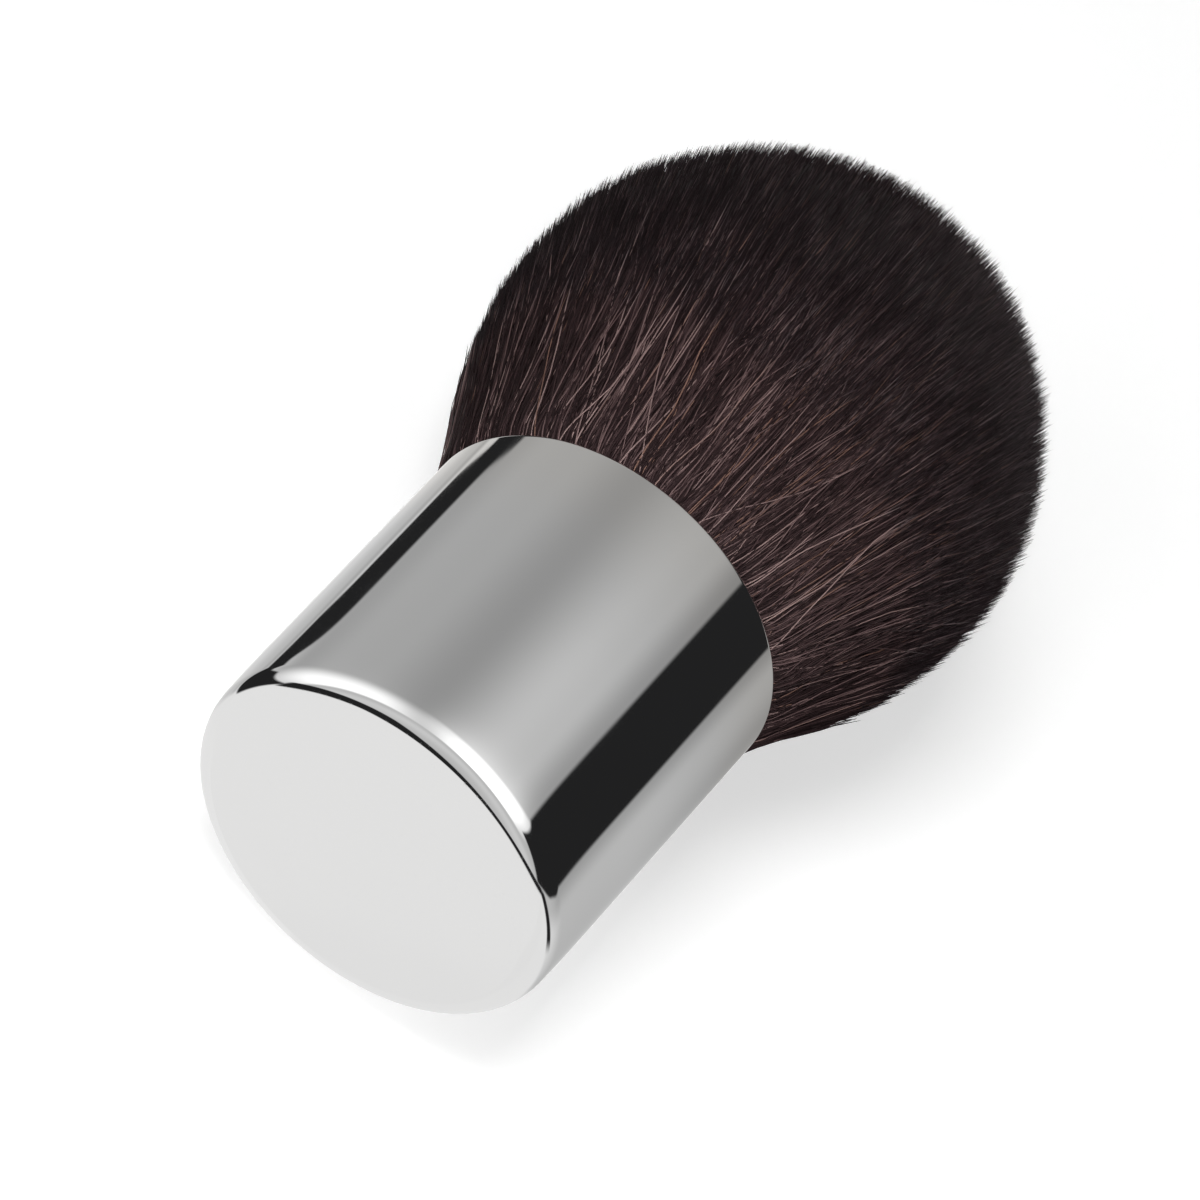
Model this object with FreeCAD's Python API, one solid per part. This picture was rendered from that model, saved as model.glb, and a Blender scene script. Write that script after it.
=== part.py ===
import FreeCAD
import Part
import os
from math import cos, radians, sin

# Kabuki makeup brush: a short drawn metal handle, closed at its foot, that holds a domed head of hair.
# Millimetres. +Z runs up the brush's axis, and the origin is the middle of the flat base it stands on.

# Handle shell: one drawn cup, polished and plated, its rim trimmed and the outer edge of it rounded
handle_diameter = 34.0
handle_height = 34.25
shell_wall = 0.8
base_thickness = 1.0
base_inner_radius = 1.4
rim_radius = 0.5

# Ballast: a steel slug in the foot, stuck down on a foam pad
pad_thickness = 0.6
pad_margin = 0.7
weight_height = 5.0
weight_chamfer = 0.5
weight_clearance = 0.15
weight_headroom = 0.1

# Core insert: a plastic moulding, gripped by the shell through ribs on its outside
insert_clearance = 0.35
insert_setback = 1.0
skirt_wall = 2.0
socket_wall = 0.8
web_thickness = 1.6
socket_chamfer_share = 0.5
rib_count = 8
rib_radius = 0.6
rib_clearance = 0.05

# Inner ferrule: a thin aluminium tube round the hair's roots, its foot turned in
ferrule_wall = 0.4
ferrule_setback = 1.5
ferrule_foot_width = 2.5

# Glue film between the ferrule and the insert, and the resin that sets the roots
glue_gap = 0.3
glue_clearance = 0.03
glue_setback = 0.5
resin_depth = 5.0
resin_clearance = 0.05

# Binding thread: a whipping in a waist round the roots
binding_height = 2.5
binding_offset = 1.0
binding_thickness = 0.7
binding_clearance = 0.05

# Hair: packed roots, a flare out of the mouth, and a full round dome
hair_clearance = 0.1
hair_rim_clearance = 0.2
head_diameter = 48.7
flare_height = 25.3
dome_height = 24.4
flare_knee_share = 0.59
dome_width_share = 0.64
dome_rise_share = 0.36

# Radii that the pieces take from one another, from the outside in
handle_radius = handle_diameter / 2
shell_bore = handle_radius - shell_wall
base_outer_radius = base_inner_radius + shell_wall
insert_radius = shell_bore - insert_clearance
skirt_bore = insert_radius - skirt_wall
socket_radius = insert_radius - socket_wall
socket_chamfer = socket_wall * socket_chamfer_share
weight_radius = skirt_bore - weight_clearance
pad_radius = weight_radius - pad_margin
ferrule_radius = socket_radius - glue_gap
ferrule_bore = ferrule_radius - ferrule_wall
foot_bore = ferrule_bore - ferrule_foot_width
root_radius = ferrule_bore - hair_clearance
hair_mouth_radius = shell_bore - hair_rim_clearance
head_radius = head_diameter / 2

# Heights, from the base up
weight_bottom = base_thickness + pad_thickness
weight_top = weight_bottom + weight_height
web_bottom = weight_top + weight_headroom
web_top = web_bottom + web_thickness
rim_start = handle_height - rim_radius
insert_top = handle_height - insert_setback
socket_mouth = insert_top - socket_chamfer
ferrule_top = insert_top - ferrule_setback
root_bottom = web_top + resin_depth
binding_bottom = root_bottom + binding_offset
binding_top = binding_bottom + binding_height
widest_height = handle_height + flare_height
head_top = widest_height + dome_height

ORIGIN = FreeCAD.Vector(0, 0, 0)
AXIS = FreeCAD.Vector(0, 0, 1)
FULL_TURN = 360
QUARTER_TURN = 90


def at(radius, height):
    """A point of the half plane through the axis."""
    return FreeCAD.Vector(radius, 0, height)


def straight(*points):
    """Straight edges from point to point."""
    return [Part.LineSegment(a, b).toShape() for a, b in zip(points, points[1:])]


def corner(centre_radius, centre_height, radius, start):
    """A quarter circle in the half plane, anticlockwise from the start angle in degrees."""
    angles = [radians(start + QUARTER_TURN * share) for share in (0, 1 / 2, 1)]
    places = [at(centre_radius + radius * cos(a), centre_height + radius * sin(a)) for a in angles]
    return Part.Arc(*places).toShape()


def swell(*poles):
    """A Bezier curve through the first and last pole, drawn towards those between."""
    curve = Part.BezierCurve()
    curve.setPoles(list(poles))
    return curve.toShape()


def turned(edges):
    """The solid that a closed outline in the half plane sweeps in a full turn about the axis."""
    wire = Part.Wire(Part.__sortEdges__(edges))
    return Part.Face(wire).revolve(ORIGIN, AXIS, FULL_TURN)


def ring(inner, outer, bottom, top):
    """A plain ring of rectangular section, or a disc where its inner radius is zero."""
    corners = [at(inner, bottom), at(outer, bottom), at(outer, top), at(inner, top)]
    return turned(straight(*corners, corners[0]))


def handle_shell():
    """The drawn cup: flat base, rounded foot, straight side, and a trimmed rim with its edge rounded."""
    foot = handle_radius - base_outer_radius
    rim = handle_radius - rim_radius
    inner_foot = shell_bore - base_inner_radius
    floor_round = base_thickness + base_inner_radius
    edges = straight(at(0, base_thickness), at(0, 0), at(foot, 0))
    edges.append(corner(foot, base_outer_radius, base_outer_radius, -QUARTER_TURN))
    edges += straight(at(handle_radius, base_outer_radius), at(handle_radius, rim_start))
    edges.append(corner(rim, rim_start, rim_radius, 0))
    edges += straight(at(rim, handle_height), at(shell_bore, handle_height), at(shell_bore, floor_round))
    edges.append(corner(inner_foot, floor_round, base_inner_radius, -QUARTER_TURN))
    edges += straight(at(inner_foot, base_thickness), at(0, base_thickness))
    return turned(edges)


def ballast_pad():
    """The foam disc that sticks the slug to the cup's floor."""
    return ring(0, pad_radius, base_thickness, weight_bottom)


def ballast_weight():
    """The turned steel slug, its two edges chamfered."""
    inner = weight_radius - weight_chamfer
    edges = straight(
        at(0, weight_bottom),
        at(inner, weight_bottom),
        at(weight_radius, weight_bottom + weight_chamfer),
        at(weight_radius, weight_top - weight_chamfer),
        at(inner, weight_top),
        at(0, weight_top),
        at(0, weight_bottom),
    )
    return turned(edges)


def core_insert():
    """The moulding: a skirt round the slug, a web over it, a socket for the ferrule, and ribs outside."""
    body = turned(straight(
        at(skirt_bore, base_thickness),
        at(insert_radius - base_inner_radius, base_thickness),
        at(insert_radius, base_thickness + base_inner_radius),
        at(insert_radius, insert_top),
        at(socket_radius + socket_chamfer, insert_top),
        at(socket_radius, socket_mouth),
        at(socket_radius, web_top),
        at(0, web_top),
        at(0, web_bottom),
        at(skirt_bore, web_bottom),
        at(skirt_bore, base_thickness),
    ))
    rib_bottom = base_thickness + base_inner_radius
    rib_place = at(shell_bore - rib_clearance - rib_radius, rib_bottom)
    ribs = []
    for k in range(rib_count):
        rib = Part.makeCylinder(rib_radius, insert_top - rib_bottom, rib_place, AXIS)
        rib.rotate(ORIGIN, AXIS, FULL_TURN * k / rib_count)
        ribs.append(rib)
    bore = ring(0, socket_radius, web_top, insert_top)
    return body.fuse(ribs).cut(bore).removeSplitter()


def inner_ferrule():
    """The thin tube that grips the roots, standing on the web on its turned-in foot."""
    return turned(straight(
        at(foot_bore, web_top),
        at(ferrule_radius, web_top),
        at(ferrule_radius, ferrule_top),
        at(ferrule_bore, ferrule_top),
        at(ferrule_bore, web_top + ferrule_wall),
        at(foot_bore, web_top + ferrule_wall),
        at(foot_bore, web_top),
    ))


def ferrule_glue():
    """The sleeve of glue that bonds the ferrule into its socket."""
    inner = ferrule_radius + glue_clearance
    outer = socket_radius - glue_clearance
    return ring(inner, outer, web_top, ferrule_top - glue_setback)


def root_resin():
    """The set resin at the bottom of the ferrule, keyed through the hole in its foot."""
    key_radius = foot_bore - resin_clearance
    plug_radius = ferrule_bore - resin_clearance
    shoulder = web_top + ferrule_wall
    return turned(straight(
        at(0, web_top),
        at(key_radius, web_top),
        at(key_radius, shoulder),
        at(plug_radius, shoulder),
        at(plug_radius, root_bottom),
        at(0, root_bottom),
        at(0, web_top),
    ))


def binding_thread():
    """The whipping round the roots, drawn in to its own waist in the hair."""
    inner = root_radius - binding_thickness + binding_clearance
    return ring(inner, root_radius, binding_bottom + binding_clearance, binding_top - binding_clearance)


def hair_knot():
    """The whole bundle: roots with the binding's waist, a flare out of the mouth, and the dome."""
    waist = root_radius - binding_thickness
    edges = straight(
        at(0, head_top),
        at(0, root_bottom),
        at(root_radius, root_bottom),
        at(root_radius, binding_bottom),
        at(waist, binding_bottom),
        at(waist, binding_top),
        at(root_radius, binding_top),
        at(root_radius, socket_mouth),
        at(hair_mouth_radius, handle_height),
    )
    edges.append(swell(
        at(hair_mouth_radius, handle_height),
        at(head_radius, handle_height + flare_height * flare_knee_share),
        at(head_radius, widest_height),
    ))
    edges.append(swell(
        at(head_radius, widest_height),
        at(head_radius, widest_height + dome_height * dome_rise_share),
        at(head_radius * dome_width_share, head_top),
        at(0, head_top),
    ))
    return turned(edges)


NODES = (
    handle_shell,
    ballast_pad,
    ballast_weight,
    core_insert,
    inner_ferrule,
    ferrule_glue,
    root_resin,
    binding_thread,
    hair_knot,
)

os.makedirs("parts", exist_ok=True)
for node in NODES:
    node().exportStep(f"parts/{node.__name__}.step")
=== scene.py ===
from math import cos, pi, radians, sin, tan

import bpy
import numpy as np
from mathutils import Matrix


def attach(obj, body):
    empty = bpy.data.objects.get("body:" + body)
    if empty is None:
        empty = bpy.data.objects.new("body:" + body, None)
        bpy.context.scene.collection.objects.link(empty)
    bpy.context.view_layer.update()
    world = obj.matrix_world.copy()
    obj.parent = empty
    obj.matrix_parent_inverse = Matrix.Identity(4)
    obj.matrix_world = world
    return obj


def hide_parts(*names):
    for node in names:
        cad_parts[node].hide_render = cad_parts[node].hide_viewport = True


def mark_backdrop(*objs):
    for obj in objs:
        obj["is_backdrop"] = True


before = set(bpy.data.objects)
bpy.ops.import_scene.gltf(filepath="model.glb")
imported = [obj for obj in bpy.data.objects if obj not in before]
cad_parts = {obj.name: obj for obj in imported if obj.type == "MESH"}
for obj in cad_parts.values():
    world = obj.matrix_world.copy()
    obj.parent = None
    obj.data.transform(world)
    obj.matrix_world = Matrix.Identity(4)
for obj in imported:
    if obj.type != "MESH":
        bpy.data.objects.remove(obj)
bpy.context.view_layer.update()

# Handle: one cup drawn from steel sheet, its foot rounded by the draw and its rim trimmed and eased, then
# polished and chrome plated. It stands on its closed base, and the other pieces sit inside it.
handle_radius = 0.0170
handle_height = 0.03425
shell_wall = 0.0008
base_thickness = 0.0010
foot_radius = 0.0022
inner_foot_radius = 0.0014
rim_radius = 0.0005
rim_break = 0.0001
ring_margin = 0.00004
ease_angle = 3.5
ease_height = 0.0020
ease_reach = 2.5
ease_steps = 14
arc_steps = 24
small_arc_steps = 8
handle_columns = 288
chrome_colour = (0.882, 0.882, 0.880, 1)
chrome_roughness = 0.04
haze_scale = 140.0
haze_roughness = 0.025
scuff_scale = 2600.0
scuff_height = 0.0008
scuff_roughness = 0.12
ripple_scale = 70.0
ripple_strength = 0.05
ripple_depth = 0.0002


def arc(centre_radius, centre_height, radius, start, stop, steps):
    """Points of a circle in the half plane: the centre plus radius times (cos, sin) of even angles, which
    are given in degrees."""
    angles = np.radians(np.linspace(start, stop, steps + 1))
    across = centre_radius + radius * np.cos(angles)
    return np.column_stack([across, centre_height + radius * np.sin(angles)])


def new_piece(name, points, faces):
    """A smooth mesh object at the origin, from an array of points and arrays of faces, one array for each
    number of corners."""
    corners = np.concatenate([group.ravel() for group in faces])
    counts = np.concatenate([np.full(len(group), group.shape[1]) for group in faces])
    mesh = bpy.data.meshes.new(name)
    mesh.vertices.add(len(points))
    mesh.vertices.foreach_set("co", points.astype(np.float32).ravel())
    mesh.loops.add(len(corners))
    mesh.loops.foreach_set("vertex_index", corners.astype(np.int32))
    mesh.polygons.add(len(counts))
    mesh.polygons.foreach_set("loop_start", (np.cumsum(counts) - counts).astype(np.int32))
    mesh.polygons.foreach_set("use_smooth", np.ones(len(counts), bool))
    mesh.update(calc_edges=True)
    piece = bpy.data.objects.new(name, mesh)
    bpy.context.scene.collection.objects.link(piece)
    return piece


def turned(name, outline, columns):
    """Carries an outline round the axis: each (r, z) becomes the ring (r cos a, r sin a, z) at even angles.
    The outline starts and ends on the axis, where a ring is one point."""
    angles = np.linspace(0, 2 * pi, columns, endpoint=False)
    around = np.column_stack([np.cos(angles), np.sin(angles)])
    rings = np.empty((len(outline) - 2, columns, 3))
    rings[..., :2] = outline[1:-1, 0][:, None, None] * around
    rings[..., 2] = outline[1:-1, 1][:, None]
    points = np.vstack([rings.reshape(-1, 3), [(0, 0, outline[0, 1]), (0, 0, outline[-1, 1])]])
    index = np.arange(rings.shape[0] * columns).reshape(-1, columns)
    beside = np.roll(index, -1, axis=1)
    quads = np.stack([index[:-1], beside[:-1], beside[1:], index[1:]], axis=-1).reshape(-1, 4)
    first = np.column_stack([np.full(columns, index.size), beside[0], index[0]])
    last = np.column_stack([index[-1], beside[-1], np.full(columns, index.size + 1)])
    return new_piece(name, points, [quads, np.vstack([first, last])])


class Socket:
    """An output of a shader node. Arithmetic on it adds Math nodes, and node() adds any other kind."""

    def __init__(self, tree, output=None):
        self.tree = tree
        self.output = output

    def node(self, kind, settings, inputs, output=0):
        """Adds a node: settings first, with a ramp's stops, then the values or links of its inputs."""
        made = self.tree.nodes.new("ShaderNode" + kind)
        for name, value in settings.items():
            if name == "stops":
                made.color_ramp.interpolation = "EASE"
                made.color_ramp.elements.remove(made.color_ramp.elements[1])
                made.color_ramp.elements[0].position = value[0][0]
                made.color_ramp.elements[0].color = value[0][1]
                for place, colour in value[1:]:
                    made.color_ramp.elements.new(place).color = colour
            else:
                setattr(made, name, value)
        for name, value in inputs.items():
            if isinstance(value, Socket):
                self.tree.links.new(value.output, made.inputs[name])
            else:
                made.inputs[name].default_value = value
        return Socket(self.tree, made.outputs[output])

    def maths(self, operation, *values):
        """A Math node on these values, in order."""
        return self.node("Math", {"operation": operation}, dict(enumerate(values)))

    def __add__(self, other):
        return self.maths("ADD", self, other)

    def __sub__(self, other):
        return self.maths("SUBTRACT", self, other)

    def __rsub__(self, other):
        return self.maths("SUBTRACT", other, self)

    def __mul__(self, other):
        return self.maths("MULTIPLY", self, other)

    def __truediv__(self, other):
        return self.maths("DIVIDE", self, other)

    def __rtruediv__(self, other):
        return self.maths("DIVIDE", other, self)

    __radd__ = __add__
    __rmul__ = __mul__

    def step(self, low, high):
        """0 up to low, 1 from high on, and a smooth rise between them."""
        ends = {"Value": self, "From Min": low, "From Max": high}
        return self.node("MapRange", {"interpolation_type": "SMOOTHSTEP"}, ends)

    def fall(self, low, high):
        """1 up to low, 0 from high on, and a smooth fall between them."""
        return 1 - self.step(low, high)

    def band(self, start, full, fading, end):
        """0 up to start, 1 from full to fading, and 0 again from end on."""
        return self.step(start, full) * self.fall(fading, end)

    def between(self, low, high):
        """The colour that goes from low to high as this value goes from 0 to 1."""
        return self.node("Mix", {"data_type": "RGBA"}, {0: self, 6: low, 7: high}, 2)

    def place(self):
        """Where the surface is, in the piece's own coordinates."""
        return self.node("TexCoord", {}, {}, "Object")

    def along(self, axis):
        """One coordinate of this place."""
        return self.node("SeparateXYZ", {}, {"Vector": self}, axis)

    def stretched(self, scale):
        """This place with its three coordinates multiplied by scale."""
        return self.node("Mapping", {}, {"Vector": self, "Scale": scale})

    def noise(self, scale, detail=3.0):
        """Smooth noise at this place, from 0 to 1."""
        return self.node("TexNoise", {}, {"Vector": self, "Scale": scale, "Detail": detail}, "Fac")

    def bump(self, strength, depth):
        """The normal of a surface that rises by depth as this value goes from 0 to 1."""
        return self.node("Bump", {}, {"Strength": strength, "Distance": depth, "Height": self})


def finish(name, fixed, varied):
    """A Principled material: fixed has values for its sockets, and varied gives its links from a first
    Socket."""
    material = bpy.data.materials.new(name)
    material.use_nodes = True
    shader = material.node_tree.nodes["Principled BSDF"]
    for socket, value in fixed.items():
        shader.inputs[socket].default_value = value
    for socket, value in varied(Socket(material.node_tree)).items():
        material.node_tree.links.new(value.output, shader.inputs[socket])
    return material


def polished(start):
    """A mirror polish with a faint haze of handling, and the fine scuffs of standing on the foot's edge."""
    place = start.place()
    haze = place.noise(haze_scale).step(0.45, 0.75)
    scuffs = place.noise(scuff_scale, 6.0).step(0.56, 0.7) * place.along("Z").fall(0.0, scuff_height)
    ripple = place.noise(ripple_scale, 1.0)
    roughness = chrome_roughness + haze * haze_roughness + scuffs * scuff_roughness
    return {"Roughness": roughness, "Normal": ripple.bump(ripple_strength, ripple_depth)}


def handle_outline():
    """The cup's section: from the middle of the base, round the foot, up the side, over the rim and back
    inside. Above the foot's arc the side falls short of its radius by a depth times exp(-rise / height)."""
    ease = radians(ease_angle)
    ease_depth = ease_height * tan(ease)
    ease_start = foot_radius * (1 - sin(ease))
    foot = handle_radius - ease_depth - foot_radius * cos(ease)
    rise = ease_height * np.linspace(0, ease_reach, ease_steps)[1:] ** 2
    side = np.column_stack([handle_radius - ease_depth * np.exp(-rise / ease_height), ease_start + rise])
    bore = handle_radius - shell_wall
    inner_foot = bore - inner_foot_radius
    rim = handle_radius - rim_radius
    floor_round = base_thickness + inner_foot_radius
    return np.vstack([
        [(0, 0), (foot / 2, 0), (foot - ring_margin, 0)],
        arc(foot, foot_radius, foot_radius, -90, -ease_angle, arc_steps),
        side,
        [(handle_radius, handle_height - rim_radius - ring_margin)],
        arc(rim, handle_height - rim_radius, rim_radius, 0, 90, small_arc_steps),
        [(bore + rim_break + ring_margin, handle_height)],
        arc(bore + rim_break, handle_height - rim_break, rim_break, 90, 180, small_arc_steps),
        [(bore, handle_height - rim_break - ring_margin), (bore, floor_round + ring_margin)],
        arc(inner_foot, floor_round, inner_foot_radius, 0, -90, small_arc_steps),
        [(inner_foot - ring_margin, base_thickness), (0, base_thickness)],
    ])


chrome = finish("polished_chrome", {"Base Color": chrome_colour, "Metallic": 1.0}, polished)
handle = turned("handle", handle_outline(), handle_columns)
handle.data.materials.append(chrome)
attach(handle, "root")
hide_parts("handle_shell")

# Ballast: a turned steel slug, stuck to the cup's floor by a disc of closed-cell foam. It gives the brush
# its heft and lets it stand by itself.
foam_colours_and_shade = (0.66, 0.65, 0.60, 1), (0.82, 0.81, 0.77, 1)
foam_cell_scale = 2200.0
foam_cell_depth = 0.0001
steel_colours = (0.46, 0.47, 0.49, 1), (0.58, 0.59, 0.61, 1)
steel_roughness = 0.28
lathe_ring_scale = 9000.0
lathe_ring_roughness = 0.15


def dressed(node, material):
    """Gives a CAD node its finish."""
    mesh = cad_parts[node].data
    mesh.materials.clear()
    mesh.materials.append(material)


def foam(start):
    """Small closed cells, painted darker in their hollows where the bump dips, a painted shade, and paler
    at their walls.
    """
    cells = start.node("TexVoronoi", {}, {"Vector": start.place(), "Scale": foam_cell_scale}, "Distance")
    # Painted shade: darker where the bump sinks into each cell.
    colour = cells.step(0.1, 0.7).between(*foam_colours_and_shade)
    return {"Base Color": colour, "Normal": cells.bump(0.6, foam_cell_depth)}


def turned_steel(start):
    """Fine rings that the lathe leaves, by distance from the axis plus height."""
    place = start.place()
    across = start.node("VectorMath", {"operation": "MULTIPLY"}, {0: place, 1: (1, 1, 0)})
    radius = start.node("VectorMath", {"operation": "LENGTH"}, {0: across}, "Value")
    ring = {"W": radius + place.along("Z"), "Scale": lathe_ring_scale}
    rings = start.node("TexNoise", {"noise_dimensions": "1D"}, ring, "Fac")
    roughness = steel_roughness + rings * lathe_ring_roughness
    return {"Base Color": rings.between(*steel_colours), "Roughness": roughness}


dressed("ballast_pad", finish("foam_pad", {"Roughness": 0.9}, foam))
dressed("ballast_weight", finish("turned_steel", {"Metallic": 1.0}, turned_steel))

# Core insert: one plastic moulding that fills the cup, with a socket for the ferrule and ribs that the
# shell grips. It is left in its natural pale colour, with the faint mottling of moulded plastic.
plastic_colours = (0.67, 0.66, 0.62, 1), (0.75, 0.74, 0.71, 1)
plastic_roughness = 0.5
mottling_scale = 180.0
mould_grain_scale = 4000.0
mould_grain_depth = 0.00005
mould_grain_roughness = 0.15


def moulded(start):
    """Faint flow mottling and the fine grain of the mould."""
    place = start.place()
    grain = place.noise(mould_grain_scale)
    return {
        "Base Color": place.noise(mottling_scale).between(*plastic_colours),
        "Roughness": plastic_roughness + grain * mould_grain_roughness,
        "Normal": grain.bump(0.15, mould_grain_depth),
    }


dressed("core_insert", finish("moulded_plastic", {}, moulded))

# Ferrule, glue, resin and binding: a thin aluminium tube grips the hair's roots and is glued into the
# socket. Waxed thread whips the roots together, and resin sets their ends.
aluminium_colours = (0.72, 0.73, 0.74, 1), (0.80, 0.81, 0.82, 1)
draw_line_scale = 3500.0
draw_line_stretch = (1, 1, 0.02)
glue_colours = (0.76, 0.71, 0.53, 1), (0.86, 0.83, 0.70, 1)
glue_cloud_scale = 500.0
resin_colours = (0.36, 0.23, 0.09, 1), (0.52, 0.37, 0.18, 1)
resin_soak_scale = 900.0
thread_colours_and_shade = (0.45, 0.39, 0.29, 1), (0.72, 0.66, 0.55, 1)
thread_turns_per_metre = 4000.0
thread_depth = 0.0001
yarn_twist_scale = 6000.0


def drawn_tube(start):
    """Fine draw lines along the tube."""
    lines = start.place().stretched(draw_line_stretch).noise(draw_line_scale)
    return {"Base Color": lines.between(*aluminium_colours), "Roughness": 0.25 + lines * 0.2}


def set_glue(start):
    """Cloudy set glue, glossier in some places than in others."""
    cloud = start.place().noise(glue_cloud_scale)
    return {"Base Color": cloud.between(*glue_colours), "Roughness": 0.3 + cloud * 0.25}


def set_resin(start):
    """Amber resin, darker where the roots soak it up."""
    soak = start.place().noise(resin_soak_scale)
    return {"Base Color": soak.between(*resin_colours), "Roughness": 0.08 + soak * 0.12}


def whipping(start):
    """Close turns of thread: waves by height, and the twist of the yarn across them. The colour dips with
    the waves, a painted shade between the turns.
    """
    place = start.place()
    turns = start.maths("SINE", place.along("Z") * (2 * pi * thread_turns_per_metre)) * 0.5 + 0.5
    # Painted shade: the thread is darker where the waves dip between turns.
    tone = turns * 0.7 + place.noise(yarn_twist_scale) * 0.3
    return {"Base Color": tone.between(*thread_colours_and_shade), "Normal": turns.bump(0.8, thread_depth)}


dressed("inner_ferrule", finish("drawn_aluminium", {"Metallic": 1.0}, drawn_tube))
dressed("ferrule_glue", finish("set_glue", {}, set_glue))
dressed("root_resin", finish("set_resin", {"IOR": 1.5}, set_resin))
dressed("binding_thread", finish("waxed_thread", {"Roughness": 0.7}, whipping))

# Hair: some sixty thousand dark brown hairs, bundled by length so that their tips make a round dome. They
# fan out of the mouth: the outer ones are short and lean over the rim, and the middle ones run up to the
# top. A dark core stands for the imported bundle, so that the inner hairs need only their last stretch. Its
# near-black is painted darker than the hairs, as painted shade deep in the bundle. The hairs' colours carry
# painted light too: lighter tones for highlights, a tint paler at the rim and darker at the tips, and
# painted shade on the side away from the light.
mouth_radius = 0.0160
head_radius = 0.02435
flare_height = 0.0253
flare_knee = 0.59
dome_height = 0.0244
dome_width = 0.64
dome_rise = 0.36
outline_steps = 60
core_depth = 0.0008
core_columns = 128
# Painted shade: the core is darker than the hairs it stands for, like the shade deep in the bundle.
core_colours_and_shade = (0.005, 0.0035, 0.0036, 1), (0.014, 0.0098, 0.0102, 1)
core_streak_scale = 2500.0
core_streak_stretch = (1, 1, 0.08)
hair_count = 64000
hair_seed = 7
lock_count = 8
golden_angle = pi * (3 - 5 ** 0.5)
spiral_spread = 0.01
share_jitter = 0.2, 0.8
lowest_tip = 0.0478
tip_reach = 0.0005
trim_spread = 0.00026
fringe = 0.00005
fringe_limit = 0.0006
fringe_power = 8
tuft_waves = 14
tuft_shortest = 0.0014
tuft_longest = 0.0050
tuft_reach = 0.00005
bend_spread = 0.0020
stray_share = 0.25
stray_spread = 0.0050
control_sway = 0.2
hair_lean = 0.08
hair_bulge = 0.0002
bulge_power = 4
rim_hump = 0.0005
rim_hump_at = 0.10
rim_hump_power = 12
wave_from = 0.3
side_wave = 0.00024
depth_wave = 0.00024
wave_rates = 0.4, 1.5
hair_radius = 0.000059
hair_radius_spread = 0.25
tip_radius_share = 0.10
taper_length = 0.0045
taper_power = 0.6
long_from_share = 0.81
long_places = (-0.06, 0, 0.03, 0.07, 0.13, 0.22, 0.36, 0.52, 0.69, 0.84, 0.94, 1)
short_places = (0, 0.5, 1)
short_length = 0.0075
light_side = radians(154)
tone_lift = 0.80
# Painted shade: hairs turned away from the light side get darker tones.
painted_shade_drift = 1.1
tone_start = 0.004
tone_reach = 0.981
tone_width = 0.003
last_place = 0.995
# Random tones of the hairs' own brown; the light stops near the top also stand for painted highlights.
hair_tones_and_highlights = (
    (0.0, (0.0100, 0.0060, 0.0063, 1)),
    (0.45, (0.0195, 0.0118, 0.0124, 1)),
    (0.72, (0.042, 0.0257, 0.0264, 1)),
    (0.90, (0.113, 0.074, 0.073, 1)),
    (0.97, (0.225, 0.158, 0.150, 1)),
    (0.98, (0.150, 0.086, 0.067, 1)),
    (1.0, (0.172, 0.100, 0.078, 1)),
)
# Painted light and shade along each hair, with its own tint: paler near the rim, where the flare faces the
# lamps, and darker and cooler at the tips.
root_tint_and_light = (1.5, 1.5, 1.5, 1)
middle_tint_and_light = (1.15, 1.12, 1.12, 1)
tip_tint_and_shade = (0.46, 0.51, 0.56, 1)
root_fade = 0.0, 0.5
tip_fade = 0.78, 0.97
patch_stretch = (160, 5, 1)
patch_darkest = 0.7
patch_reach = 0.6
hair_roughness = 0.52
light_hair_gloss = 0.12
hair_specular = 0.15
hair_sheen = (1.0, 0.84, 0.83, 1)


def bezier(poles, t):
    """A Bezier curve: neighbouring poles are blended, (1 - t) a + t b, over and over until one is left."""
    while len(poles) > 1:
        poles = [(1 - t) * a + t * b for a, b in zip(poles, poles[1:])]
    return poles[0]


def head_outline():
    """The head's section from the rim to the top: a flare that swells to the widest ring, then a dome."""
    t = np.linspace(0, 1, outline_steps)[:, None]
    widest = handle_height + flare_height
    top = widest + dome_height
    knee = np.array([head_radius, handle_height + flare_height * flare_knee])
    shoulder = np.array([head_radius, widest + dome_height * dome_rise])
    brow = np.array([head_radius * dome_width, top])
    flare = bezier([np.array([mouth_radius, handle_height]), knee, np.array([head_radius, widest])], t)
    dome = bezier([np.array([head_radius, widest]), shoulder, brow, np.array([0, top])], t)
    return np.vstack([flare, dome[1:]])


def packed_outline():
    """The head's section drawn in from its surface by the core's depth, and closed below at the mouth."""
    outline = head_outline()
    way = np.gradient(outline, axis=0)
    inward = np.column_stack([-way[:, 1], way[:, 0]]) / np.hypot(*way.T)[:, None]
    drawn = outline + inward * core_depth
    drawn = drawn[drawn[:, 0] > core_depth]
    sunk = handle_height - core_depth
    return np.vstack([[(0, sunk), (drawn[0, 0], sunk)], drawn, [(0, drawn[-1, 1])]])


def packed_shade(start):
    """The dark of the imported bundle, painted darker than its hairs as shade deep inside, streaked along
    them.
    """
    streaks = start.place().stretched(core_streak_stretch).noise(core_streak_scale)
    return {"Base Color": streaks.between(*core_colours_and_shade)}


def tips_at(share):
    """Where hairs end on the head's outline. Share is how much of the tips' area lies above, which spaces
    the tips evenly."""
    outline = head_outline()[::-1]
    outline = outline[outline[:, 1] > lowest_tip]
    bands = np.hypot(*np.diff(outline, axis=0).T) * (outline[1:, 0] + outline[:-1, 0]) / 2
    above = np.concatenate([[0], np.cumsum(bands)]) / bands.sum()
    return np.interp(share, above, outline[:, 0]), np.interp(share, above, outline[:, 1])


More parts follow.
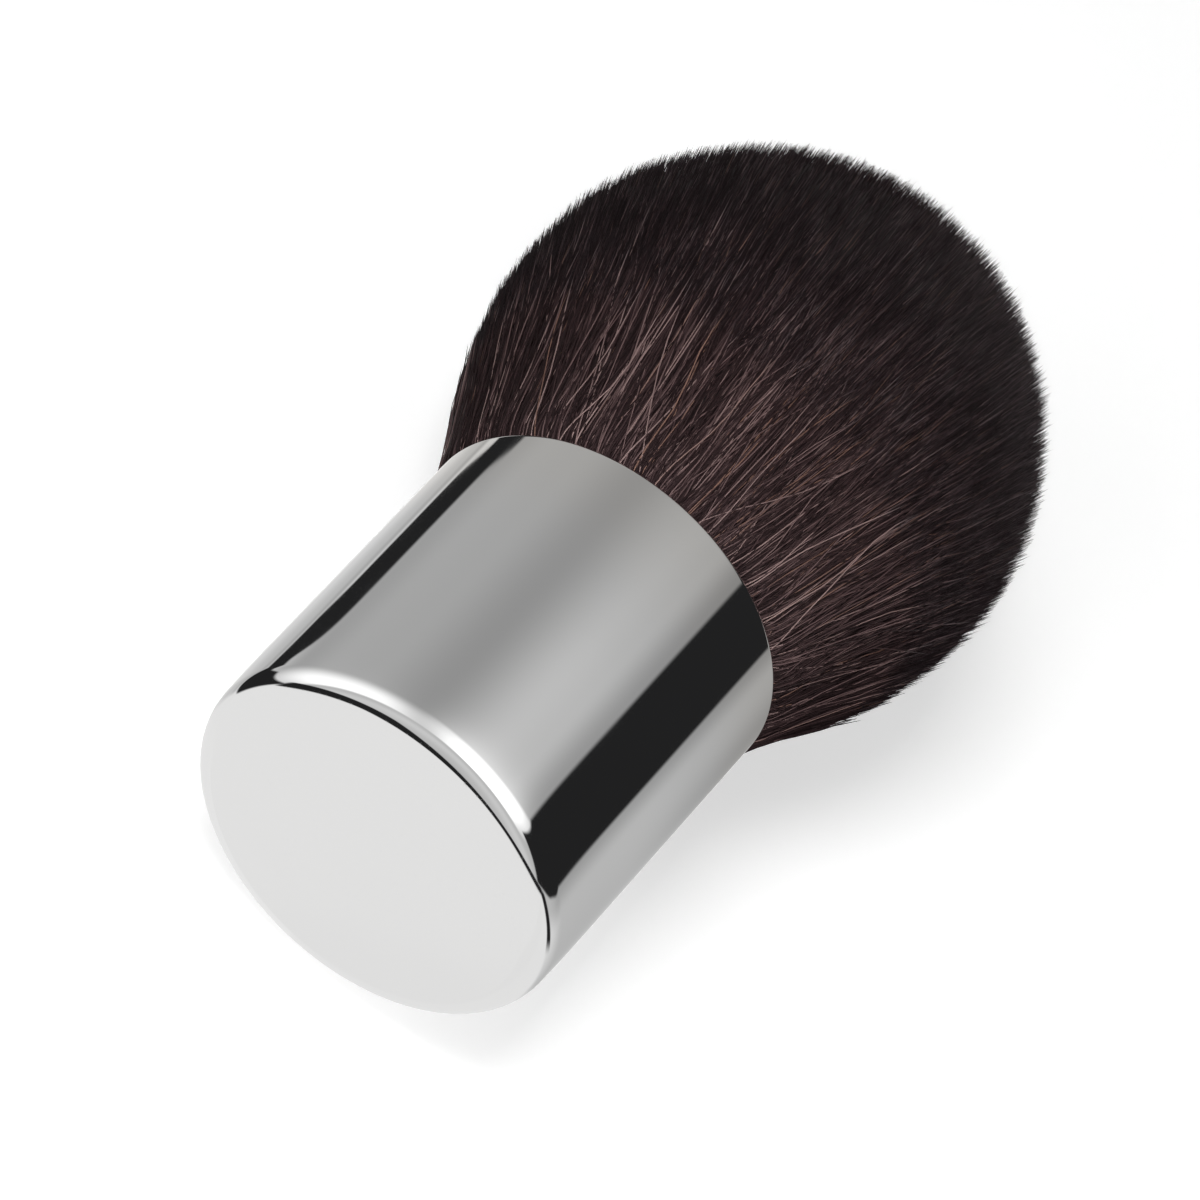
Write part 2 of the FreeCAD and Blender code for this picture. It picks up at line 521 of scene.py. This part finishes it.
def tufts(points, draw):
    """Gathers tips into tufts: each is moved by a sum of waves, vector times sin(wave . point + phase)."""
    ways = draw.normal(size=(tuft_waves, 3))
    ways /= np.linalg.norm(ways, axis=1, keepdims=True)
    lengths = draw.uniform(tuft_shortest, tuft_longest, (tuft_waves, 1))
    phases = draw.uniform(0, 2 * pi, tuft_waves)
    moves = draw.normal(size=(tuft_waves, 3)) * tuft_reach * (lengths / tuft_shortest) ** 0.5
    return points + np.sin(points @ (2 * pi * ways / lengths).T + phases) @ moves


def grown_hairs(draw):
    """Root, control point and tip of every hair. Roots fill the mouth on a sunflower spiral, radius by the
    square root of the share. The control point swells the outer hairs, each tip swings a little round the
    axis, and some outer tips lift into a fringe. Tones are painted darker with the angle from the light
    side:
    painted shade."""
    share = (np.arange(hair_count) + draw.uniform(*share_jitter, hair_count)) / hair_count
    angle = np.arange(hair_count) * golden_angle + draw.normal(0, spiral_spread, hair_count)
    outward = np.column_stack([np.cos(angle), np.sin(angle), np.zeros(hair_count)])
    sideways = np.column_stack([-np.sin(angle), np.cos(angle), np.zeros(hair_count)])
    up = np.array([0.0, 0.0, 1.0])
    spread = np.sqrt(share)[:, None]
    root = outward * mouth_radius * spread + up * handle_height
    tip_radius, tip_height = tips_at(share)
    tip = tufts(outward * tip_radius[:, None] + up * tip_height[:, None], draw)
    chord = tip - root
    length = np.linalg.norm(chord, axis=1, keepdims=True)
    swell = np.cross(sideways, chord / length)
    tip = tip + chord / length * draw.normal(tip_reach, trim_spread, (hair_count, 1))
    lifted = np.abs(draw.normal(0, 1, (hair_count, 1))) ** 3 * fringe
    tip = tip + swell * np.minimum(lifted, fringe_limit) * spread ** fringe_power
    loose = np.where(draw.uniform(size=hair_count) < stray_share, stray_spread, bend_spread)
    swing = draw.normal(0, 1, hair_count) * loose / np.hypot(tip_radius, stray_spread)
    tip = np.column_stack([
        tip[:, 0] * np.cos(swing) - tip[:, 1] * np.sin(swing),
        tip[:, 0] * np.sin(swing) + tip[:, 1] * np.cos(swing),
        tip[:, 2],
    ])
    # Painted shade: the exponent grows with the angle from the light side, so those tones are darker.
    darker = tone_lift * np.exp(painted_shade_drift * np.sin(angle - light_side) ** 2)
    tone = draw.uniform(size=hair_count) ** darker
    control = root + (tip - root) * (0.5 + hair_lean) + swell * hair_bulge * spread ** bulge_power
    control = control + sideways * draw.normal(0, control_sway, (hair_count, 1)) * loose[:, None]
    wave_depths = np.column_stack([np.full(hair_count, side_wave), (1 - tone) * depth_wave])
    return {
        "root": root,
        "control": control,
        "tip": tip,
        "sideways": sideways,
        "swell": swell,
        "hump": outward * rim_hump * spread ** rim_hump_power,
        "waves": np.abs(draw.normal(0, 1, (hair_count, 2))) * wave_depths,
        "rates": draw.uniform(*wave_rates, (hair_count, 2)),
        "phases": draw.uniform(0, 2 * pi, (hair_count, 2)),
        "length": length[:, 0],
        "radius": hair_radius * (1 + hair_radius_spread * draw.uniform(-1, 1, hair_count)),
        "tone": tone_start + tone_reach * tone,
        "share": share,
        "angle": angle % (2 * pi),
    }


def hair_curve(hairs, t):
    """Points at t along each hair: a Bezier curve from root to tip, a hump x exp(1 - x) that carries the
    outer hairs over the rim, x being t over the hump's place, and two slow waves, sin(turn) sideways and
    sin(turn) - 1 inwards, so that the surface stays even."""
    along = t[..., None]
    curve = bezier([hairs[end][:, None] for end in ("root", "control", "tip")], along)
    over = np.clip(along, 0, 1) / rim_hump_at
    curve = curve + hairs["hump"][:, None] * over * np.exp(1 - over)
    grown = np.clip(along / wave_from, 0, 1)
    turns = 2 * pi * hairs["rates"][:, None] * along + hairs["phases"][:, None]
    reach = grown * hairs["waves"][:, None] * (np.sin(turns) - (0, 1))
    return curve + hairs["sideways"][:, None] * reach[..., :1] + hairs["swell"][:, None] * reach[..., 1:]


def hair_lock(name, hairs, starts, places):
    """Carries a three-cornered section along each hair, which is drawn from its start to its tip. The
    section shrinks over the last stretch. The UV map has the hair's tone across and the place along it
    upwards."""
    count, rows = len(starts), len(places)
    t = starts[:, None] + (1 - starts[:, None]) * np.array(places)
    centre = hair_curve(hairs, t)
    way = np.gradient(centre, axis=1)
    way /= np.linalg.norm(way, axis=-1, keepdims=True)
    first = hairs["sideways"][:, None] - way * (way * hairs["sideways"][:, None]).sum(-1, keepdims=True)
    first /= np.linalg.norm(first, axis=-1, keepdims=True)
    second = np.cross(way, first)
    left_over = np.clip((1 - t) * hairs["length"][:, None] / taper_length, 0, 1) ** taper_power
    width = hairs["radius"][:, None] * (tip_radius_share + (1 - tip_radius_share) * left_over)
    turn = np.arange(3) * 2 * pi / 3
    section = np.cos(turn)[:, None] * first[:, :, None] + np.sin(turn)[:, None] * second[:, :, None]
    points = centre[:, :, None] + width[..., None, None] * section
    index = np.arange(count * rows * 3).reshape(count, rows, 3)
    beside = np.roll(index, -1, axis=2)
    quads = np.stack([index[:, :-1], beside[:, :-1], beside[:, 1:], index[:, 1:]], axis=-1).reshape(-1, 4)
    ends = np.vstack([index[:, 0, ::-1], index[:, -1]])
    lock = new_piece(name, points.reshape(-1, 3), [quads, ends])
    place = np.clip((t - long_places[0]) / (1 - long_places[0]), 0, last_place)
    grid = (count, rows - 1, 3)
    left = np.broadcast_to(hairs["tone"][:, None, None] + tone_width * np.arange(3), grid)
    right = left + tone_width
    low = np.broadcast_to(place[:, :-1, None], grid)
    high = np.broadcast_to(place[:, 1:, None], grid)
    sides = np.stack([left, low, right, low, right, high, left, high], axis=-1)
    cap = tone_width * np.array([[0, 0], [1, 0], [1, 1]])
    caps = [np.column_stack([hairs["tone"], place[:, row]])[:, None] + cap for row in (0, -1)]
    corners = np.concatenate([part.ravel() for part in (sides, *caps)])
    lock.data.uv_layers.new(name="OFBake").data.foreach_set("uv", corners.astype(np.float32))
    return lock


def hair_shades(start):
    """Each hair's own brown by the map's first number, its lightest tones partly painted highlights, and by
    its second a tint, pale at the rim and dark at the tip, partly painted light and shade. Noise stretched
    along the hairs makes both patchy."""
    spot = start.node("UVMap", {"uv_map": "OFBake"}, {}, "UV")
    tone = spot.along("X")
    along = spot.along("Y")
    brown = start.node("ValToRGB", {"stops": hair_tones_and_highlights}, {"Fac": tone}, "Color")
    patchy = patch_darkest + spot.stretched(patch_stretch).noise(1.0, 1.0) * patch_reach
    # Painted light near the rim and painted shade towards the tip, over the hair's own tint.
    lower = along.step(*root_fade).between(root_tint_and_light, middle_tint_and_light)
    tint = along.step(*tip_fade).between(lower, tip_tint_and_shade)
    tinted = start.node("VectorMath", {"operation": "MULTIPLY"}, {0: brown, 1: tint})
    shaded = start.node("VectorMath", {"operation": "SCALE"}, {0: tinted, "Scale": patchy})
    return {"Base Color": shaded, "Roughness": hair_roughness - tone * light_hair_gloss}


core = turned("hair_core", packed_outline(), core_columns)
core.data.materials.append(finish("packed_hair_and_shade", {"Roughness": 0.8}, packed_shade))
sheen = {"Specular IOR Level": hair_specular, "Specular Tint": hair_sheen}
brown_hair = finish("dark_brown_hair", sheen, hair_shades)
hairs = grown_hairs(np.random.default_rng(hair_seed))
outer = hairs["share"] > long_from_share
pieces = [core]
for kind, group, places in (("outer", outer, long_places), ("inner", ~outer, short_places)):
    for k in range(lock_count):
        these = group & (np.floor(hairs["angle"] / (2 * pi) * lock_count) == k)
        own = {name: values[these] for name, values in hairs.items()}
        starts = np.zeros(these.sum()) if kind == "outer" else 1 - short_length / own["length"]
        lock = hair_lock(f"{kind}_hair_{k + 1}", own, starts, places)
        lock.data.materials.append(brown_hair)
        pieces.append(lock)
for piece in pieces:
    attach(piece, "root")
    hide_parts("hair_knot")

# Camera: low in front of the base and looking up along the brush, which runs from the picture's lower left
# to its upper right.
camera_azimuth = radians(225)
camera_tilt = radians(38.615)
axis_slant = radians(42.776)
base_right = -0.0183875
base_down = 0.0200757
base_ahead = 0.5741817
frame_pixels = 1200
focal_pixels = 7290.57
sensor_width = 36.0
upward = np.array([0.0, 0.0, 1.0])
toward_camera = np.array([sin(camera_azimuth), -cos(camera_azimuth), 0])
to_the_side = np.array([cos(camera_azimuth), sin(camera_azimuth), 0])
forward = sin(camera_tilt) * upward - cos(camera_tilt) * toward_camera
rising_way = cos(camera_tilt) * upward + sin(camera_tilt) * toward_camera
picture_right = cos(axis_slant) * to_the_side + sin(axis_slant) * rising_way
picture_up = cos(axis_slant) * rising_way - sin(axis_slant) * to_the_side


def placed(thing, right, above, back, place):
    """Adds an object whose own X, Y and Z point along these three ways, at this place."""
    thing.matrix_world = Matrix(np.column_stack([right, above, back, place]).tolist() + [[0, 0, 0, 1]])
    bpy.context.scene.collection.objects.link(thing)
    return thing


lens = bpy.data.cameras.new("camera")
lens.sensor_width = sensor_width
lens.lens = sensor_width * focal_pixels / frame_pixels
camera_place = base_down * picture_up - base_right * picture_right - base_ahead * forward
camera = placed(bpy.data.objects.new("camera", lens), picture_right, picture_up, -forward, camera_place)
bpy.context.scene.camera = camera
bpy.context.scene.view_settings.view_transform = "Standard"

# Stage: a pale floor under the base, and a white card that leans back behind the brush, close to its foot
# and head. Both show from their front only, so that the brush can be seen from under the floor and from
# behind the card.
floor_drop = 0.00005
paper_reach = 0.6
card_lean = radians(7.3)
card_gap = 0.0004
paper_colour = (0.90, 0.90, 0.90, 1)
paper_glow = 0.23


def paper(name):
    """Matt white paper with a little light of its own for the camera, clear from behind and to lamps."""
    material = bpy.data.materials.new(name)
    material.use_nodes = True
    tree = material.node_tree
    tree.nodes.remove(tree.nodes["Principled BSDF"])
    start = Socket(tree)
    back = start.node("NewGeometry", {}, {}, "Backfacing")
    lamp = start.node("LightPath", {}, {}, "Is Shadow Ray")
    seen = start.node("LightPath", {}, {}, "Is Camera Ray")
    matt = start.node("BsdfDiffuse", {}, {"Color": paper_colour})
    glow = start.node("Emission", {}, {"Strength": seen * paper_glow})
    lit = start.node("AddShader", {}, {0: matt, 1: glow})
    clear = start.node("BsdfTransparent", {}, {})
    surface = start.node("MixShader", {}, {0: start.maths("MAXIMUM", back, lamp), 1: lit, 2: clear})
    tree.links.new(surface.output, tree.nodes["Material Output"].inputs["Surface"])
    return material


def sheet_of_paper(name, middle, across, along, reach):
    """A square: the middle plus and minus reach times two unit ways. Its front faces along their cross
    product."""
    corners = np.array([(-1, -1), (1, -1), (1, 1), (-1, 1)]) * reach
    sheet = new_piece(name, middle + corners @ np.array([across, along]), [np.array([[0, 1, 2, 3]])])
    sheet.data.materials.append(paper(name + "_paper"))
    sheet.visible_glossy = False
    sheet.visible_diffuse = False
    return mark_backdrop(sheet)


sheet_of_paper("floor", -floor_drop * upward, np.array([1.0, 0, 0]), np.array([0, 1.0, 0]), paper_reach)
card_way = cos(card_lean) * upward - sin(card_lean) * toward_camera
card_foot = -(handle_radius + card_gap) * toward_camera
sheet_of_paper("card", card_foot, to_the_side, card_way, paper_reach)

# Light: a key above the camera and a soft box to its left, which cast the shadows on the card, softer boxes
# behind and at the side, and a box low in front that casts no shadow.
lamp_distance = 0.9
key_size = 0.30
box_size = 0.6
key_way = 0.45 * picture_up + 0.08 * picture_right - forward
left_way = 0.15 * picture_up - 0.48 * picture_right - forward
back_way = 0.8 * upward - toward_camera
side_way = 0.6 * upward + to_the_side
front_way = toward_camera + to_the_side - 0.45 * upward
key_level = 0.46
left_level = 0.31
back_level = 0.80
side_level = 0.30
front_level = 0.74


def soft_box(name, way, size, level, shadows=True):
    """A square lamp that faces the brush from this way. Level is how bright it makes paper facing it."""
    back = way / np.linalg.norm(way)
    right = np.cross(upward, back)
    right /= np.linalg.norm(right)
    lamp = bpy.data.lights.new(name, "AREA")
    lamp.size = size
    lamp.use_shadow = shadows
    lamp.energy = level * (pi * lamp_distance) ** 2
    place = handle_height * upward + lamp_distance * back
    box = placed(bpy.data.objects.new(name, lamp), right, np.cross(back, right), back, place)
    box.visible_glossy = False


soft_box("key", key_way, key_size, key_level)
soft_box("back_box", back_way, box_size, back_level)
soft_box("side_box", side_way, box_size, side_level)
soft_box("left_box", left_way, box_size, left_level)
soft_box("front_box", front_way, box_size, front_level, False)

# Mirrored room: what the polished metal shows, and nothing else sees. Behind is a bright table with a dark
# front edge, and in front a ground, lit walls with two glowing boxes, and dark screens for the stripes.
# Angles are in degrees: turn goes round from the camera, rise goes up, and lift is rise evened out by turn.
degree = 180 / pi
fill_colour = (0.06, 0.06, 0.06, 1)
backdrop_colour = (1, 1, 1, 1)
table_colour = (0.848, 0.846, 0.844, 1)
screen_colour = (0.0165, 0.0165, 0.017, 1)
wall_greys = (
    (-180, 1.00), (-160, 0.68), (-140, 0.52), (-135.5, 0.40), (-131.5, 0.66), (-108, 0.37), (-88, 0.42),
    (-66, 0.41), (-30, 0.315), (13, 0.57), (30, 0.54), (50, 0.34), (95, 0.36), (112, 0.52),
    (150, 0.485), (172, 0.53), (180, 0.70),
)
ground_greys = ((-90, 0.42), (-70, 0.53), (-48, 0.64), (-34, 0.52))
ground_end_rise = -35, -28
low_wall_gain = 0.45
low_wall_rise = -10, 38
front_shade = 0.26
front_shade_lift = 36.7, 39.0
front_shade_turn = -30, 10
side_shade = 0.2
side_shade_lift = 36.6, 38.6
side_shade_turn = 115, 150
front_glow = 0.72
front_glow_turn = -34, 6, 40, 62
front_glow_rise = 18, 37.6
left_glow = 0.62
left_glow_turn = -122, -84, -50, -14
left_glow_rise = -16, 35.5
warm_lift = 37.6, 38.6
warm_green_loss = 0.02
warm_blue_loss = 0.05
least_drop = 0.02
edge_bend = 0.45
edge_bend_aside = -0.4
edge_width = 0.25
edge_thinning = 0.16
edge_thinning_aside = -0.6, 0.5
edge_blur = 0.75, 1.1
edge_end_rise = -29, -23
table_front = -0.16, -0.06
table_turn = 120, 133
table_turn_slant = 1.2
table_shade = 0.07
table_shade_line = -1.424, -1.41
table_shade_slant = 0.85
right_screen_start = 50, 53
right_screen_end = 94, 97
right_screen_foot = -2, 2
right_foot_slant = 0.4
right_end_bend = 6
right_end_bend_rise = 0, 36
right_tip_bend = 3
right_tip_bend_rise = -25, 0
bar_turn = 87, 90, 113, 123
bar_slant = 0.84
bar_drop = 102.4
bar_blur = 4, 8
left_screen_start = -132, -130
left_screen_end = -110.5, -107.5
left_screen_foot = -165, -158
left_foot_slant = 1.2
left_rim_bend = 5
left_rim_lift = 38.15, 38.5
left_foot_spread = 1.6
left_foot_lift = 36.5, 37.0
left_end_bend = 11
left_end_bend_rise = 10, 28
left_end_return = 8
left_end_return_lift = 33.6, 36.8


def grey_stops(places, low, high):
    """A ramp's stops from (place, level) pairs, with places from low to high brought to 0 to 1."""
    return [((place - low) / (high - low), (level, level, level, 1)) for place, level in places]


def lit_front(start, turn, rise, lift):
    """The greys in front: a ramp by rise for the ground, and one by turn for the walls, which are lighter
    low down and shaded where lift is high. Two glowing boxes are added, and high lift is warmer."""
    ground = start.node("ValToRGB", {"stops": grey_stops(ground_greys, -90, 0)}, {"Fac": rise / 90 + 1})
    walls = start.node("ValToRGB", {"stops": grey_stops(wall_greys, -180, 180)}, {"Fac": turn / 360 + 0.5})
    in_front = 1 - front_shade * lift.step(*front_shade_lift) * turn.step(*front_shade_turn)
    at_side = 1 - side_shade * lift.step(*side_shade_lift) * turn.step(*side_shade_turn)
    walls = walls * (1 + low_wall_gain * rise.fall(*low_wall_rise)) * in_front * at_side
    front_box = turn.band(*front_glow_turn) * rise.fall(*front_glow_rise) * front_glow
    left_box = turn.band(*left_glow_turn) * rise.fall(*left_glow_rise) * left_glow
    grey = ground + rise.step(*ground_end_rise) * (walls + front_box + left_box - ground)
    warm = lift.step(*warm_lift)
    green = grey * (1 - warm * warm_green_loss)
    blue = grey * (1 - warm * warm_blue_loss)
    return start.node("CombineColor", {}, {"Red": grey, "Green": green, "Blue": blue})


def dark_screens(start, turn, rise, lift):
    """Where dark screens stand. The right one has its far edge bent towards its foot, and a thin bar slants
    from there. The left one leans at the handle's rim and widens at its foot."""
    right_end = turn + rise.fall(*right_end_bend_rise) * right_end_bend
    right_end = right_end + rise.fall(*right_tip_bend_rise) * right_tip_bend
    right_foot = (rise + turn * right_foot_slant).step(*right_screen_foot)
    right_screen = turn.step(*right_screen_start) * right_end.fall(*right_screen_end) * right_foot
    off_bar = start.maths("ABSOLUTE", rise - turn * bar_slant + bar_drop)
    bar = turn.band(*bar_turn) * off_bar.fall(*bar_blur)
    left_place = turn - lift.step(*left_rim_lift) * left_rim_bend
    left_start = left_place + lift.fall(*left_foot_lift) * left_foot_spread
    left_end = left_place + rise.step(*left_end_bend_rise) * left_end_bend
    left_end = left_end - lift.step(*left_end_return_lift) * left_end_return
    left_foot = (rise + turn * left_foot_slant).step(*left_screen_foot)
    left_screen = left_start.step(*left_screen_start) * left_end.fall(*left_screen_end) * left_foot
    return start.maths("MAXIMUM", start.maths("MAXIMUM", right_screen, bar), left_screen)


def mirrored_room(start, way):
    """What the metal mirrors in a direction. Aside and ahead are the place on the ground below that it
    points to. The table's front edge is a dark line at ahead = 0, which bends back on the left and is thin
    on the right, and the table lies behind it."""
    across = start.node("VectorMath", {"operation": "DOT_PRODUCT"}, {0: way, 1: to_the_side}, "Value")
    toward = start.node("VectorMath", {"operation": "DOT_PRODUCT"}, {0: way, 1: toward_camera}, "Value")
    up = way.along("Z")
    turn = start.maths("ARCTAN2", across, toward) * degree
    rise = start.maths("ARCSINE", up) * degree
    lift = rise - start.maths("COSINE", turn / (2 * degree))
    drop = start.maths("MAXIMUM", 0 - up, least_drop)
    aside = across / drop
    ahead = toward / drop
    bent = ahead - start.maths("MINIMUM", aside - edge_bend_aside, 0) * edge_bend
    width = edge_width - aside.step(*edge_thinning_aside) * edge_thinning
    edge = (start.maths("ABSOLUTE", bent) / width).fall(*edge_blur) * rise.fall(*edge_end_rise)
    round_back = start.maths("ABSOLUTE", turn) - rise * table_turn_slant
    shade = (ahead - aside * table_shade_slant).step(*table_shade_line) * table_shade + (1 - table_shade)
    table = bent.fall(*table_front) * round_back.step(*table_turn) * shade
    dark = start.maths("MAXIMUM", edge, dark_screens(start, turn, rise, lift))
    return dark.between(table.between(lit_front(start, turn, rise, lift), table_colour), screen_colour)


world = bpy.data.worlds.new("studio")
bpy.context.scene.world = world
world.use_nodes = True
start = Socket(world.node_tree)
room = mirrored_room(start, start.node("TexCoord", {}, {}, "Generated"))
mirror_ray = start.node("LightPath", {}, {}, "Is Glossy Ray")
camera_ray = start.node("LightPath", {}, {}, "Is Camera Ray")
around = mirror_ray.between(fill_colour, room)
shown = camera_ray.between(around, backdrop_colour)
world.node_tree.links.new(shown.output, world.node_tree.nodes["Background"].inputs["Color"])
